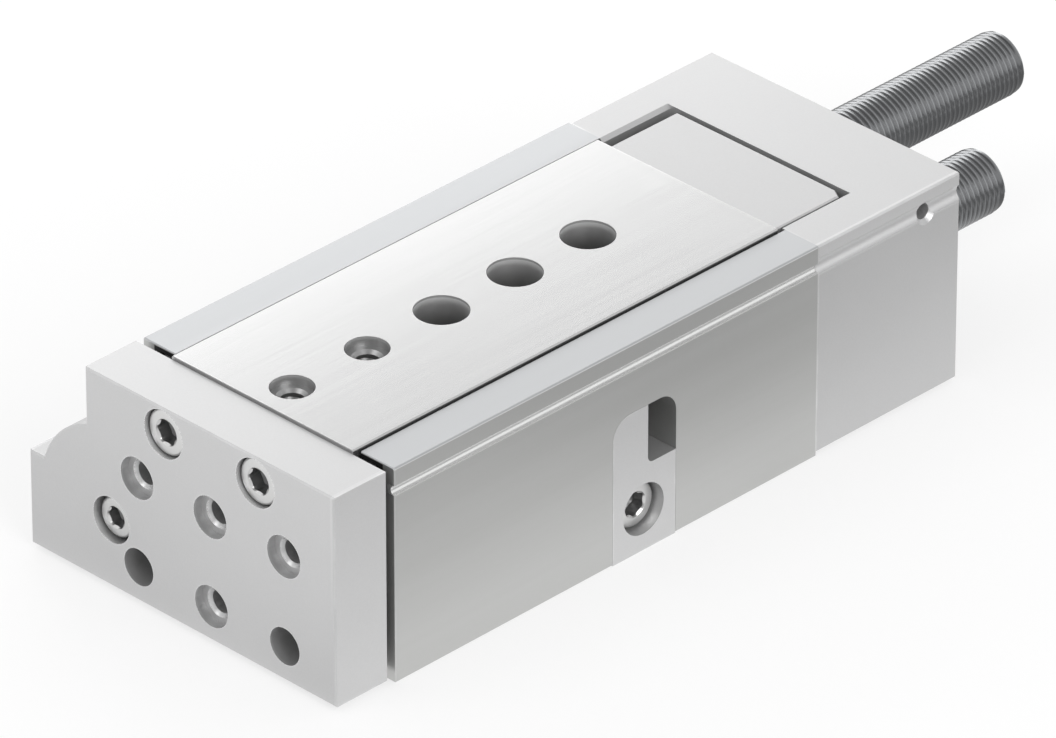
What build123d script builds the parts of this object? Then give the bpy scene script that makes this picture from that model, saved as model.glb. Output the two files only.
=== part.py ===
import os
from math import cos, radians, sin, sqrt

from build123d import *

# A compact guided slide: a steel table runs in two ball guides on top of an aluminium housing,
# and a small cylinder in the housing's left lobe drives it forward through the yoke plate.
# X is across, Y is along the travel with the rear at +Y, Z is up from the mounting face.
# The origin is on the mounting face, midway between the two through bolts.

# Travel of the table, forward along -Y
stroke = 30.0
stop_contact_gap = 0.1

# Housing
housing_length = 115.5
housing_front = -66.5
housing_height = 47.8
body_width = 68.3
lobe_reach = 50.2
lobe_height = 22.4
barrel_x = -27.4
barrel_z = 16.4
barrel_outer_radius = 19.7
outer_chamfer = 0.35
end_chamfer = 0.2
channel_side_gap = 0.6
channel_under_table = 0.8

# Yoke plate
yoke_gap = 1.5
yoke_thickness = 14.0
yoke_base_rise = 1.3
yoke_right_inset = 0.45
yoke_left_inset = 0.05
yoke_chamfer = 0.4

# Slide table
table_length = 115.5
table_half_width = 24.6
table_thickness = 13.0
table_rise = 0.6
table_chamfer = 0.3

# Threads, as core radius and depth, and their screws
m4_core_radius = 1.7
m5_core_radius = 2.1
m5_clear_radius = 2.75
m5_head_radius = 4.25
m5_head_height = 5.0
m6_core_radius = 2.5
m6_clear_radius = 3.3
m6_head_radius = 4.9
m6_head_height = 6.0
m6_tap_depth = 10.0
tap_chamfer = 0.9
centred_tap_chamfer = 0.7
socket_ratio = 0.55
screw_gap = 0.05
tap_overrun = 3.0

# Centring bores around the threads
centring_radius = 4.5
centring_depth = 2.1
centring_relief_radius = 4.05
centring_relief_depth = 5.5
hole_pitch = 20.0

# Ball guides
ball_radius = 2.0
ball_pitch = 9.6
balls_per_side = 8
guide_drop = 6.35
guide_gap = 1.6
groove_clearance = 0.05
rail_height = 8.8
rail_thickness = 3.6
rail_setback = 0.4
rail_end_inset = 0.5
cage_thickness = 1.0
cage_height = 5.5
cage_end_margin = 7.0
cage_relief_margin = 0.6

# Rear stop block, bolted to the table
block_length = 19.35
block_left = -21.4
block_right = 23.8
block_top_drop = 0.5
block_skirt = 10.0
block_side_clearance = 0.5
block_corner_width = 2.2
block_corner_length = 1.3
block_screw_offset = 13.0
block_screw_length = 22.0
block_screw_head_depth = 6.0

# End cap
cap_length = 40.2
cap_left_inset = 0.7
cap_base_rise = 0.95
pocket_side_gap = 0.6
pocket_gap = 1.25
pocket_left_chamfer = 0.8
cap_screw_length = 50.0
cap_screw_head_depth = 5.5
cap_screw_drop = 14.3
cap_screw_lower = 15.5
cap_screw_right = 28.7
cap_screw_upper_left = -28.6
cap_screw_lower_left = -44.0
m5_counterbore_radius = 4.7
cap_groove_radius = 2.1
cap_groove_depth = 1.0
cap_groove_drop = 4.5
cap_side_hole_back = 9.8
cap_side_hole_drop = 5.2
cap_side_hole_depth = 9.0
lock_screw_back = 10.6
lock_screw_length = 8.0
lock_screw_gap = 0.3

# Stop sleeves with an M14 fine thread
sleeve_radius = 7.0
sleeve_drop = 8.7
sleeve_offset = 14.65
sleeve_thread_clearance = 0.05
sleeve_free_clearance = 1.0
sleeve_chamfer = 0.8
sleeve_socket_across = 8.0
sleeve_socket_depth = 8.0
buffer_radius = 4.0
buffer_length = 12.0
buffer_proud = 0.5
retract_sleeve_length = 87.0
extend_sleeve_length = 84.2
sleeve_channel_clearance = 0.65

# Fixed stop, let into the housing's right side
stop_setback = 58.7
stop_width = 17.4
stop_roof = 2.2
stop_finger = 9.65
stop_ledge_drop = 7.6
stop_depth = 25.15
stop_corner_radius = 4.5
stop_inner_radius = 1.5
stop_fit = 0.05
stop_screw_back = 8.5
stop_screw_height = 9.3
stop_screw_head_depth = 8.25
stop_screw_length = 30.0
stop_counterbore_radius = 5.6

# Half-round sensor groove in the housing's right side
sensor_radius = 1.05
sensor_lip = 0.12
sensor_drop = 5.0

# Cylinder in the left lobe
bore_radius = 12.5
bore_end = 8.0
round_clearance = 0.05
rod_radius = 5.0
rod_stem_radius = 3.5
rod_tap_depth = 15.0
piston_length = 17.0
piston_rear = 3.0
piston_clearance = 0.1
seal_clearance = 0.04
lip_seal_width = 2.4
lip_seal_depth = 2.2
magnet_width = 3.0
magnet_depth = 2.6
magnet_cover = 0.3
guide_ring_width = 2.6
guide_ring_depth = 1.2
buffer_ring_inner = 8.0
buffer_ring_outer = 11.0
buffer_ring_width = 1.6
nut_across = 10.0
nut_height = 4.0
nut_recess = 3.0
nut_recess_radius = 6.4
stem_overhang = 0.5
gland_front_setback = 2.7
gland_length = 14.8
gland_seal_width = 3.4
gland_seal_outer = 8.2
gland_ring_radius = 1.0
gland_ring_width = 2.6
gland_ring_back = 5.0
circlip_thickness = 1.2
circlip_depth = 0.9
circlip_width = 2.4
circlip_opening = 44.0
circlip_ear_radius = 1.7
circlip_ear_hole = 0.7
front_port_gap = 2.4
rear_port_gap = 2.6

# Mounting
base_bolt_half_spacing = 20.0
base_bolt_head_depth = 6.6
base_counterbore_radius = 5.5
base_thread_half_length = 40.0
base_thread_right = 25.0
base_thread_left = -45.0
access_radius = 5.6
access_hole_rows = (-20.0, 0.0, 20.0)
threaded_hole_rows = (-60.0, -40.0)

# Holes in the yoke's front face, by their grid column and height
yoke_upper_row = 29.0
yoke_lower_row = 9.0
yoke_plain_radius = 4.0
yoke_screw_offset = 12.5
yoke_screw_recess = 0.8
yoke_screw_length = 20.0
yoke_counterbore_radius = 5.2
rod_screw_recess = 1.2
rod_screw_length = 20.0
rod_counterbore_radius = 5.0

# Sensor magnet under the table
table_magnet_radius = 2.5
table_magnet_height = 3.0
table_magnet_x = 20.0
table_magnet_back = 11.5

# Places that follow from the sizes above
body_half = body_width / 2
housing_rear = housing_front + housing_length
yoke_rear = housing_front - yoke_gap
yoke_front = yoke_rear - yoke_thickness
table_front = yoke_rear
table_rear = table_front + table_length
table_top = housing_height + table_rise
table_bottom = table_top - table_thickness
channel_floor = table_bottom - channel_under_table
channel_half_width = table_half_width + channel_side_gap
guide_height = table_top - guide_drop
sleeve_height = table_bottom - sleeve_drop
block_front = table_rear
block_rear = block_front + block_length
block_top = table_top - block_top_drop
block_bottom = sleeve_height - block_skirt
pocket_rear = block_rear + pocket_gap
pocket_half_width = block_right + pocket_side_gap
cap_rear = housing_rear + cap_length
cap_screw_upper = housing_height - cap_screw_drop
cap_groove_height = housing_height - cap_groove_drop
cap_side_hole_height = housing_height - cap_side_hole_drop
sensor_height = housing_height - sensor_drop
lower_left = block_left - block_side_clearance
lower_right = pocket_half_width
lower_floor = block_bottom - block_side_clearance
lower_front = block_front - stroke - block_side_clearance
rail_face = channel_half_width + rail_setback
table_groove_face = rail_face - guide_gap
ball_line = (rail_face + table_groove_face) / 2
groove_radius = ball_radius + groove_clearance
cage_length = (balls_per_side - 1) * ball_pitch + 2 * cage_end_margin
relief_height = cage_height + 2 * cage_relief_margin
stop_front = housing_front + stop_setback
stop_rear = stop_front + stop_width
finger_rear = stop_front + stop_finger
stop_top = channel_floor - stop_roof
stop_ledge = sleeve_height - stop_ledge_drop
extend_tip = finger_rear + stroke + stop_contact_gap
extend_sleeve_front = extend_tip + buffer_proud
extend_sleeve_rear = extend_sleeve_front + extend_sleeve_length
retract_sleeve_front = block_rear + stop_contact_gap
retract_sleeve_rear = retract_sleeve_front + retract_sleeve_length
sleeve_bore = sleeve_radius + sleeve_thread_clearance
gland_front = housing_front + gland_front_setback
gland_rear = gland_front + gland_length
piston_front = piston_rear - piston_length
table_magnet_y = table_rear - table_magnet_back

# The cages start where they stay between rail and table at both ends of the travel
shared_front = housing_front + rail_end_inset
shared_rear = table_rear - stroke
cage_middle = (shared_front + shared_rear) / 2 + stroke / 2


def section(y):
    """A plane across the travel at y, seen from the front, with its normal to the front."""
    return Plane(origin=(0, y, 0), x_dir=(1, 0, 0), z_dir=(0, -1, 0))


def back_section(y):
    """A plane across the travel at y, with its normal to the rear and X mirrored."""
    return Plane(origin=(0, y, 0), x_dir=(-1, 0, 0), z_dir=(0, 1, 0))


def right_side(x):
    """A plane along the travel at x, with its normal to the right."""
    return Plane(origin=(x, 0, 0), x_dir=(0, 1, 0), z_dir=(1, 0, 0))


def left_side(x):
    """A plane along the travel at x, with its normal to the left."""
    return Plane(origin=(x, 0, 0), x_dir=(0, -1, 0), z_dir=(-1, 0, 0))


def draw_outline(lobe, left, right, bottom, top):
    """The body's cross-section: a square block with the cylinder lobe low on its left."""
    foot_x = barrel_x - sqrt(barrel_outer_radius**2 - (lobe_height - barrel_z) ** 2)
    head_z = barrel_z + sqrt(barrel_outer_radius**2 - (barrel_x + left) ** 2)
    turn = radians(135)
    crown = (barrel_x + barrel_outer_radius * cos(turn), barrel_z + barrel_outer_radius * sin(turn))
    with BuildLine() as outline:
        Polyline((-lobe, bottom), (-lobe, lobe_height), (foot_x, lobe_height))
        ThreePointArc((foot_x, lobe_height), crown, (-left, head_z))
        Polyline((-left, head_z), (-left, top), (right, top), (right, bottom), (-lobe, bottom))
    make_face(outline.edges())


def draw_box(low_x, high_x, low_y, high_y):
    """A rectangle between two corners of the sketch."""
    with Locations(((low_x + high_x) / 2, (low_y + high_y) / 2)):
        Rectangle(high_x - low_x, high_y - low_y)


def turn_profile(x, z, points):
    """Revolve a profile of (y, radius) points about the line along Y through x and z."""
    with BuildSketch(Plane(origin=(x, 0, z), x_dir=(0, 1, 0), z_dir=(1, 0, 0))) as profile:
        with BuildLine() as border:
            Polyline(*points, close=True)
        make_face(border.edges())
    revolve(profile.sketch, axis=Axis((x, 0, z), (0, 1, 0)))


def turn_ring(x, z, low_y, high_y, inner, outer):
    """A plain ring about the line along Y through x and z."""
    turn_profile(x, z, [(low_y, inner), (high_y, inner), (high_y, outer), (low_y, outer)])


def add_cap_screw(plane, places, thread_radius, head_radius, head_height, length):
    """Socket screws whose head tops lie on the plane, with the shanks behind it."""
    edge = head_radius * 0.08
    socket_depth = head_height * socket_ratio
    with BuildSketch(plane) as heads:
        with Locations(*places):
            Circle(head_radius)
    extrude(heads.sketch, amount=-head_height)
    with BuildSketch(plane.offset(-head_height)) as shanks:
        with Locations(*places):
            Circle(thread_radius)
    extrude(shanks.sketch, amount=-length)
    rims = edges().filter_by(GeomType.CIRCLE).filter_by(
        lambda e: abs(e.radius - head_radius) < 0.01 and abs(plane.to_local_coords(e.center()).Z) < 0.01
    )
    chamfer(rims, length=edge)
    with BuildSketch(plane) as sockets:
        with Locations(*places):
            RegularPolygon(head_radius * socket_ratio, 6)
    extrude(sockets.sketch, amount=-socket_depth, mode=Mode.SUBTRACT)


def tap_holes(plane, places, core_radius, depth, mouth=tap_chamfer):
    """Blind threaded holes, as their core with a countersunk mouth."""
    with Locations(plane):
        with Locations(*places):
            CounterSinkHole(core_radius, core_radius + mouth, depth=depth, counter_sink_angle=90)


def centred_tap_holes(plane, places, core_radius, depth):
    """Threaded holes at the bottom of a shallow centring bore."""
    with Locations(plane):
        with Locations(*places):
            Hole(centring_radius, depth=centring_depth)
    tap_holes(plane.offset(-centring_depth), places, core_radius, depth, centred_tap_chamfer)


def lengthwise_edges(part, at_x, at_z):
    """The straight edges of a part that run along Y at a place of its section."""
    return part.edges().filter_by(Axis.Y).filter_by(
        lambda e: abs(e.center().X - at_x) < 0.01 and abs(e.center().Z - at_z) < 0.01
    )


# Housing
cap_screw_places = [
    (cap_screw_right, cap_screw_upper),
    (cap_screw_right, cap_screw_lower),
    (cap_screw_lower_left, cap_screw_lower),
    (cap_screw_upper_left, cap_screw_upper),
]
port_rows = (gland_rear + front_port_gap, bore_end - rear_port_gap)

with BuildPart() as housing:
    with BuildSketch(section(housing_rear)):
        draw_outline(lobe_reach, body_half, body_half, 0, housing_height)
    extrude(amount=housing_length)
    chamfer(lengthwise_edges(housing, body_half, housing_height), length=outer_chamfer)
    chamfer(lengthwise_edges(housing, -body_half, housing_height), length=outer_chamfer)
    chamfer(lengthwise_edges(housing, body_half, 0), length=outer_chamfer)
    chamfer(lengthwise_edges(housing, -lobe_reach, 0), length=outer_chamfer)
    chamfer(lengthwise_edges(housing, -lobe_reach, lobe_height), length=outer_chamfer)
    chamfer(housing.faces().sort_by(Axis.Y)[0].edges(), length=end_chamfer)
    with BuildSketch(section(housing_rear)):
        draw_box(-channel_half_width, channel_half_width, channel_floor, housing_height + 1)
    extrude(amount=housing_length, mode=Mode.SUBTRACT)
    # Seats for the two guide rails, open at both ends
    with BuildSketch(section(housing_rear)):
        for side in (-1, 1):
            with Locations((side * (channel_half_width + rail_thickness / 2), guide_height)):
                Rectangle(rail_thickness + 2 * rail_setback, rail_height + 2 * round_clearance)
    extrude(amount=housing_length, mode=Mode.SUBTRACT)
    # Room for the stop block's lower part, open to the end cap
    with BuildSketch(section(housing_rear)):
        draw_box(lower_left, lower_right, lower_floor, channel_floor + 1)
    extrude(amount=housing_rear - lower_front, mode=Mode.SUBTRACT)
    # Round-bottomed channel for the forward stop sleeve
    with BuildSketch(section(lower_front)):
        with Locations((sleeve_offset, sleeve_height)):
            Circle(sleeve_radius + sleeve_channel_clearance)
        draw_box(
            sleeve_offset - sleeve_radius - sleeve_channel_clearance,
            sleeve_offset + sleeve_radius + sleeve_channel_clearance,
            sleeve_height,
            channel_floor + 1,
        )
    extrude(amount=lower_front - finger_rear, mode=Mode.SUBTRACT)
    # Arched slot for the fixed stop, open at the mounting face
    with BuildSketch(right_side(body_half)) as stop_slot:
        draw_box(stop_front, stop_rear, -1, stop_top)
        fillet(stop_slot.vertices().group_by(Axis.Y)[-1], radius=stop_corner_radius)
    extrude(amount=-stop_depth, mode=Mode.SUBTRACT)
    # Groove for a proximity sensor, with its lips eased
    with BuildSketch(section(housing_rear)):
        with Locations((body_half, sensor_height)):
            Circle(sensor_radius)
    extrude(amount=housing_length, mode=Mode.SUBTRACT)
    chamfer(lengthwise_edges(housing, body_half, sensor_height + sensor_radius), length=sensor_lip)
    chamfer(lengthwise_edges(housing, body_half, sensor_height - sensor_radius), length=sensor_lip)
    # Cylinder bore, closed at the rear, with a groove for the retaining ring
    with Locations(section(housing_front)):
        with Locations((barrel_x, barrel_z)):
            Hole(bore_radius, depth=bore_end - housing_front)
    with BuildSketch(section(gland_front)):
        with Locations((barrel_x, barrel_z)):
            Circle(bore_radius + circlip_depth)
    extrude(amount=circlip_thickness, mode=Mode.SUBTRACT)
    # Air ports in the side of the lobe
    tap_holes(
        left_side(-lobe_reach),
        [(-row, barrel_z) for row in port_rows],
        m5_core_radius,
        lobe_reach + barrel_x - bore_radius + tap_overrun,
    )
    # Through bolts, sunk from above, with centring bores and their relief below
    for row, floor in ((-base_bolt_half_spacing, channel_floor), (base_bolt_half_spacing, lower_floor)):
        with Locations(Plane.XY.offset(floor)):
            with Locations((0, row)):
                CounterBoreHole(m6_clear_radius, base_counterbore_radius, base_bolt_head_depth)
        with Locations(Plane.XY.rotated((180, 0, 0))):
            with Locations((0, row)):
                Hole(centring_radius, depth=centring_depth)
                Hole(centring_relief_radius, depth=centring_relief_depth)
    # Threads in the mounting face
    tap_holes(
        Plane.XY.rotated((180, 0, 0)),
        [
            (x, y)
            for x in (base_thread_left, base_thread_right)
            for y in (-base_thread_half_length, base_thread_half_length)
        ],
        m6_core_radius,
        m6_tap_depth,
    )
    # Threads for the end cap's screws and the fixed stop's screw
    tap_holes(
        back_section(housing_rear),
        [(-x, z) for x, z in cap_screw_places],
        m5_core_radius,
        cap_screw_length + cap_screw_head_depth - cap_length + tap_overrun,
    )
    with Locations(right_side(body_half - stop_depth)):
        with Locations((stop_front + stop_screw_back, stop_screw_height)):
            Hole(m6_core_radius, depth=stop_screw_length + stop_screw_head_depth - stop_depth + tap_overrun)

housing.part.label = "housing"

# End cap, closing the channel behind the table
with BuildPart() as end_cap:
    with BuildSketch(section(cap_rear)):
        draw_outline(
            lobe_reach - cap_left_inset,
            body_half - cap_left_inset,
            body_half,
            cap_base_rise,
            housing_height,
        )
    extrude(amount=cap_length)
    chamfer(lengthwise_edges(end_cap, body_half, housing_height), length=outer_chamfer)
    chamfer(lengthwise_edges(end_cap, cap_left_inset - body_half, housing_height), length=outer_chamfer)
    chamfer(lengthwise_edges(end_cap, body_half, cap_base_rise), length=outer_chamfer)
    chamfer(lengthwise_edges(end_cap, cap_left_inset - lobe_reach, cap_base_rise), length=outer_chamfer)
    chamfer(lengthwise_edges(end_cap, cap_left_inset - lobe_reach, lobe_height), length=outer_chamfer)
    chamfer(end_cap.faces().sort_by(Axis.Y)[-1].edges(), length=outer_chamfer)
    # Pocket for the stop block
    with BuildSketch(section(pocket_rear)):
        draw_box(-pocket_half_width, pocket_half_width, channel_floor, housing_height + 1)
        draw_box(lower_left, lower_right, lower_floor, channel_floor + 1)
    extrude(amount=pocket_rear - housing_rear, mode=Mode.SUBTRACT)
    chamfer(lengthwise_edges(end_cap, -pocket_half_width, housing_height), length=pocket_left_chamfer)
    # Threaded bore for the rear stop sleeve and a free bore for the forward one
    with Locations(back_section(cap_rear)):
        with Locations((sleeve_offset, sleeve_height)):
            Hole(sleeve_bore, depth=cap_length)
        with Locations((-sleeve_offset, sleeve_height)):
            Hole(sleeve_radius + sleeve_free_clearance, depth=cap_length)
        with Locations(*[(-x, z) for x, z in cap_screw_places]):
            CounterBoreHole(m5_clear_radius, m5_counterbore_radius, cap_screw_head_depth, depth=cap_length)
    # Shallow groove along the right side, with a small threaded hole above it
    with BuildSketch(section(cap_rear)):
        with Locations((body_half + cap_groove_radius - cap_groove_depth, cap_groove_height)):
            Circle(cap_groove_radius)
    extrude(amount=cap_length, mode=Mode.SUBTRACT)
    tap_holes(
        right_side(body_half),
        [(cap_rear - cap_side_hole_back, cap_side_hole_height)],
        m4_core_radius,
        cap_side_hole_depth,
    )
    # Threaded hole for the screw that locks the rear stop sleeve
    with Locations(left_side(-lobe_reach)):
        with Locations((lock_screw_back - cap_rear, sleeve_height)):
            Hole(m5_core_radius, depth=lobe_reach - sleeve_offset)
end_cap.part.label = "end_cap"

with BuildPart() as end_cap_screws:
    add_cap_screw(
        back_section(cap_rear - cap_screw_head_depth + m5_head_height),
        [(-x, z) for x, z in cap_screw_places],
        m5_core_radius - screw_gap,
        m5_head_radius,
        m5_head_height,
        cap_screw_length,
    )
end_cap_screws.part.label = "end_cap_screws"

# Yoke plate, the moving front face
yoke_screw_places = [(-yoke_screw_offset, guide_height), (yoke_screw_offset, guide_height)]

with BuildPart() as yoke_plate:
    with BuildSketch(section(yoke_rear)):
        draw_outline(
            lobe_reach,
            body_half - yoke_left_inset,
            body_half - yoke_right_inset,
            yoke_base_rise,
            housing_height,
        )
    extrude(amount=yoke_thickness)
    chamfer(yoke_plate.faces().sort_by(Axis.Y)[0].edges(), length=yoke_chamfer)
    chamfer(yoke_plate.faces().sort_by(Axis.Y)[-1].edges(), length=yoke_chamfer)
    centred_tap_holes(
        section(yoke_front),
        [(x, yoke_upper_row) for x in (-hole_pitch, 0, hole_pitch)] + [(0, yoke_lower_row)],
        m6_core_radius,
        yoke_thickness,
    )
    with Locations(section(yoke_front)):
        with Locations((-hole_pitch, yoke_lower_row), (hole_pitch, yoke_lower_row)):
            Hole(yoke_plain_radius, depth=yoke_thickness)
        with Locations(*yoke_screw_places):
            CounterBoreHole(
                m6_clear_radius,
                yoke_counterbore_radius,
                yoke_screw_recess + m6_head_height,
                depth=yoke_thickness,
            )
        with Locations((barrel_x, barrel_z)):
            CounterBoreHole(
                m5_clear_radius,
                rod_counterbore_radius,
                rod_screw_recess + m5_head_height,
                depth=yoke_thickness,
            )
yoke_plate.part.label = "yoke_plate"

with BuildPart() as yoke_slide_screws:
    add_cap_screw(
        section(yoke_front + yoke_screw_recess),
        yoke_screw_places,
        m6_core_radius - screw_gap,
        m6_head_radius,
        m6_head_height,
        yoke_screw_length,
    )
yoke_slide_screws.part.label = "yoke_slide_screws"

with BuildPart() as piston_rod_screw:
    add_cap_screw(
        section(yoke_front + rod_screw_recess),
        [(barrel_x, barrel_z)],
        m5_core_radius - screw_gap,
        m5_head_radius,
        m5_head_height,
        rod_screw_length,
    )
piston_rod_screw.part.label = "piston_rod_screw"

# Slide table
block_screw_places = [(-block_screw_offset, guide_height), (block_screw_offset, guide_height)]

with BuildPart() as slide_table:
    with BuildSketch(section(table_rear)):
        draw_box(-table_half_width, table_half_width, table_bottom, table_top)
        for side in (-1, 1):
            with Locations((side * table_half_width, guide_height)):
                Rectangle(2 * (table_half_width - table_groove_face), relief_height, mode=Mode.SUBTRACT)
            with Locations((side * ball_line, guide_height)):
                Circle(groove_radius, mode=Mode.SUBTRACT)
    extrude(amount=table_length)
    chamfer(lengthwise_edges(slide_table, table_half_width, table_top), length=table_chamfer)
    chamfer(lengthwise_edges(slide_table, -table_half_width, table_top), length=table_chamfer)
    centred_tap_holes(
        Plane.XY.offset(table_top),
        [(0, row) for row in threaded_hole_rows],
        m6_core_radius,
        table_thickness,
    )
    with Locations(Plane.XY.offset(table_top)):
        with Locations(*[(0, row) for row in access_hole_rows]):
            Hole(access_radius, depth=table_thickness)
    tap_holes(
        section(table_front),
        yoke_screw_places,
        m6_core_radius,
        yoke_screw_length + yoke_screw_recess + m6_head_height - yoke_thickness + tap_overrun,
    )
    tap_holes(
        back_section(table_rear),
        block_screw_places,
        m5_core_radius,
        block_screw_length + block_screw_head_depth - block_length + tap_overrun,
    )
    # Pocket under the table for the sensor magnet
    with Locations(Plane.XY.offset(table_bottom + table_magnet_height)):
        with Locations((table_magnet_x, table_magnet_y)):
            Hole(table_magnet_radius + round_clearance, depth=table_magnet_height)
slide_table.part.label = "slide_table"

with BuildPart() as table_magnet:
    with BuildSketch(Plane.XY.offset(table_bottom)):
        with Locations((table_magnet_x, table_magnet_y)):
            Circle(table_magnet_radius)
    extrude(amount=table_magnet_height)
table_magnet.part.label = "table_magnet"

# Rear stop block, carried by the table
with BuildPart() as rear_stop_block:
    with BuildSketch(Plane.XY.offset(block_bottom)):
        with BuildLine():
            Polyline(
                (block_left, block_front),
                (block_right, block_front),
                (block_right, block_rear - block_corner_length),
                (block_right - block_corner_width, block_rear),
                (block_left, block_rear),
                close=True,
            )
        make_face()
    extrude(amount=block_top - block_bottom)
    chamfer(rear_stop_block.edges().group_by(Axis.Z)[-1], length=table_chamfer)
    with Locations(back_section(block_rear)):
        with Locations((-sleeve_offset, sleeve_height)):
            Hole(sleeve_bore, depth=block_length)
        with Locations(*block_screw_places):
            CounterBoreHole(
                m5_clear_radius,
                m5_counterbore_radius,
                block_screw_head_depth,
                depth=block_length,
            )
rear_stop_block.part.label = "rear_stop_block"

with BuildPart() as stop_block_screws:
    add_cap_screw(
        back_section(block_rear - block_screw_head_depth + m5_head_height),
        block_screw_places,
        m5_core_radius - screw_gap,
        m5_head_radius,
        m5_head_height,
        block_screw_length,
    )
stop_block_screws.part.label = "stop_block_screws"


def add_rail(side):
    """A guide rail with its ball groove, on one side of the channel."""
    middle = side * (rail_face + rail_thickness / 2)
    with BuildSketch(section(housing_rear - rail_end_inset)) as profile:
        with Locations((middle, guide_height)):
            Rectangle(rail_thickness, rail_height)
        chamfer(profile.vertices(), length=table_chamfer)
        with Locations((side * ball_line, guide_height)):
            Circle(groove_radius, mode=Mode.SUBTRACT)
    extrude(profile.sketch, amount=housing_length - 2 * rail_end_inset)


ball_rows = [cage_middle + (index - (balls_per_side - 1) / 2) * ball_pitch for index in range(balls_per_side)]


def add_cage(side):
    """A strip that holds the balls of one side apart."""
    with BuildSketch(right_side(side * ball_line - cage_thickness / 2)) as strip:
        with Locations((cage_middle, guide_height)):
            Rectangle(cage_length, cage_height)
        fillet(strip.vertices(), radius=1.0)
        with Locations(*[(row, guide_height) for row in ball_rows]):
            Circle(groove_radius, mode=Mode.SUBTRACT)
    extrude(strip.sketch, amount=cage_thickness)


def add_balls(side):
    """The balls of one side."""
    with Locations(*[(side * ball_line, row, guide_height) for row in ball_rows]):
        Sphere(ball_radius)


with BuildPart() as guide_rail_left:
    add_rail(-1)
guide_rail_left.part.label = "guide_rail_left"

with BuildPart() as guide_rail_right:
    add_rail(1)
guide_rail_right.part.label = "guide_rail_right"

with BuildPart() as ball_cage_left:
    add_cage(-1)
ball_cage_left.part.label = "ball_cage_left"

with BuildPart() as ball_cage_right:
    add_cage(1)
ball_cage_right.part.label = "ball_cage_right"

with BuildPart() as balls_left:
    add_balls(-1)
balls_left.part.label = "balls_left"

with BuildPart() as balls_right:
    add_balls(1)
balls_right.part.label = "balls_right"

# Fixed stop in the housing's side: a finger in front, a ledge with an open window behind it
with BuildPart() as side_stop:
    with BuildSketch(right_side(body_half)) as stop_profile:
        draw_box(stop_front + stop_fit, stop_rear - stop_fit, 0, stop_top - stop_fit)
        fillet(
            stop_profile.vertices().group_by(Axis.Y)[-1].sort_by(Axis.X)[0],
            radius=stop_corner_radius - stop_fit,
        )
        draw_window = Rectangle(
            2 * stop_width,
            2 * stop_top,
            align=(Align.MIN, Align.MIN),
            mode=Mode.PRIVATE,
        )
        add(draw_window.moved(Location((finger_rear, stop_ledge))), mode=Mode.SUBTRACT)
        fillet(
            stop_profile.vertices().filter_by(
                lambda v: abs(v.X - finger_rear) < 0.01 and abs(v.Y - stop_ledge) < 0.01
            ),
            radius=stop_inner_radius,
        )
    extrude(amount=-stop_depth)
    with Locations(right_side(body_half)):
        with Locations((stop_front + stop_screw_back, stop_screw_height)):
            CounterBoreHole(
                m6_clear_radius,
                stop_counterbore_radius,
                stop_screw_head_depth,
                depth=stop_depth,
            )
side_stop.part.label = "side_stop"

with BuildPart() as side_stop_screw:
    add_cap_screw(
        right_side(body_half - stop_screw_head_depth + m6_head_height),
        [(stop_front + stop_screw_back, stop_screw_height)],
        m6_core_radius - screw_gap,
        m6_head_radius,
        m6_head_height,
        stop_screw_length,
    )
side_stop_screw.part.label = "side_stop_screw"


def add_sleeve(x, front, rear, seat_depth):
    """A stop sleeve along Y: a bore for its buffer in front and a hexagon socket behind."""
    seat = buffer_radius + round_clearance
    turn_profile(
        x,
        sleeve_height,
        [
            (front, seat),
            (front, sleeve_radius - sleeve_chamfer),
            (front + sleeve_chamfer, sleeve_radius),
            (rear - sleeve_chamfer, sleeve_radius),
            (rear, sleeve_radius - sleeve_chamfer),
            (rear, 0),
            (front + seat_depth, 0),
            (front + seat_depth, seat),
        ],
    )
    with BuildSketch(back_section(rear)) as socket:
        with Locations((-x, sleeve_height)):
            RegularPolygon(sleeve_socket_across / 2, 6, major_radius=False)
    extrude(socket.sketch, amount=-sleeve_socket_depth, mode=Mode.SUBTRACT)


def add_buffer(x, tip, length):
    """An elastomer buffer with a bevelled nose."""
    nose = buffer_radius / 5
    turn_profile(
        x,
        sleeve_height,
        [
            (tip, 0),
            (tip, buffer_radius - nose),
            (tip + nose / 2, buffer_radius),
            (tip + length, buffer_radius),
            (tip + length, 0),
        ],
    )


with BuildPart() as retract_stop_sleeve:
    add_sleeve(-sleeve_offset, retract_sleeve_front, retract_sleeve_rear, buffer_length)
retract_stop_sleeve.part.label = "retract_stop_sleeve"

with BuildPart() as retract_stop_buffer:
    add_buffer(-sleeve_offset, retract_sleeve_front, buffer_length)
retract_stop_buffer.part.label = "retract_stop_buffer"

with BuildPart() as extend_stop_sleeve:
    add_sleeve(sleeve_offset, extend_sleeve_front, extend_sleeve_rear, buffer_length - buffer_proud)
extend_stop_sleeve.part.label = "extend_stop_sleeve"

with BuildPart() as extend_stop_buffer:
    add_buffer(sleeve_offset, extend_tip, buffer_length)
extend_stop_buffer.part.label = "extend_stop_buffer"

# Headless screw that locks the rear stop sleeve in the cap
lock_screw_tip = -sleeve_offset - sleeve_radius - lock_screw_gap

with BuildPart() as sleeve_lock_screw:
    with BuildSketch(left_side(lock_screw_tip)):
        with Locations((lock_screw_back - cap_rear, sleeve_height)):
            Circle(m5_core_radius - screw_gap)
    extrude(amount=lock_screw_length)
    with BuildSketch(left_side(lock_screw_tip - lock_screw_length)):
        with Locations((lock_screw_back - cap_rear, sleeve_height)):
            RegularPolygon(m5_core_radius * socket_ratio, 6)
    extrude(amount=-lock_screw_length / 3, mode=Mode.SUBTRACT)
sleeve_lock_screw.part.label = "sleeve_lock_screw"

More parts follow.
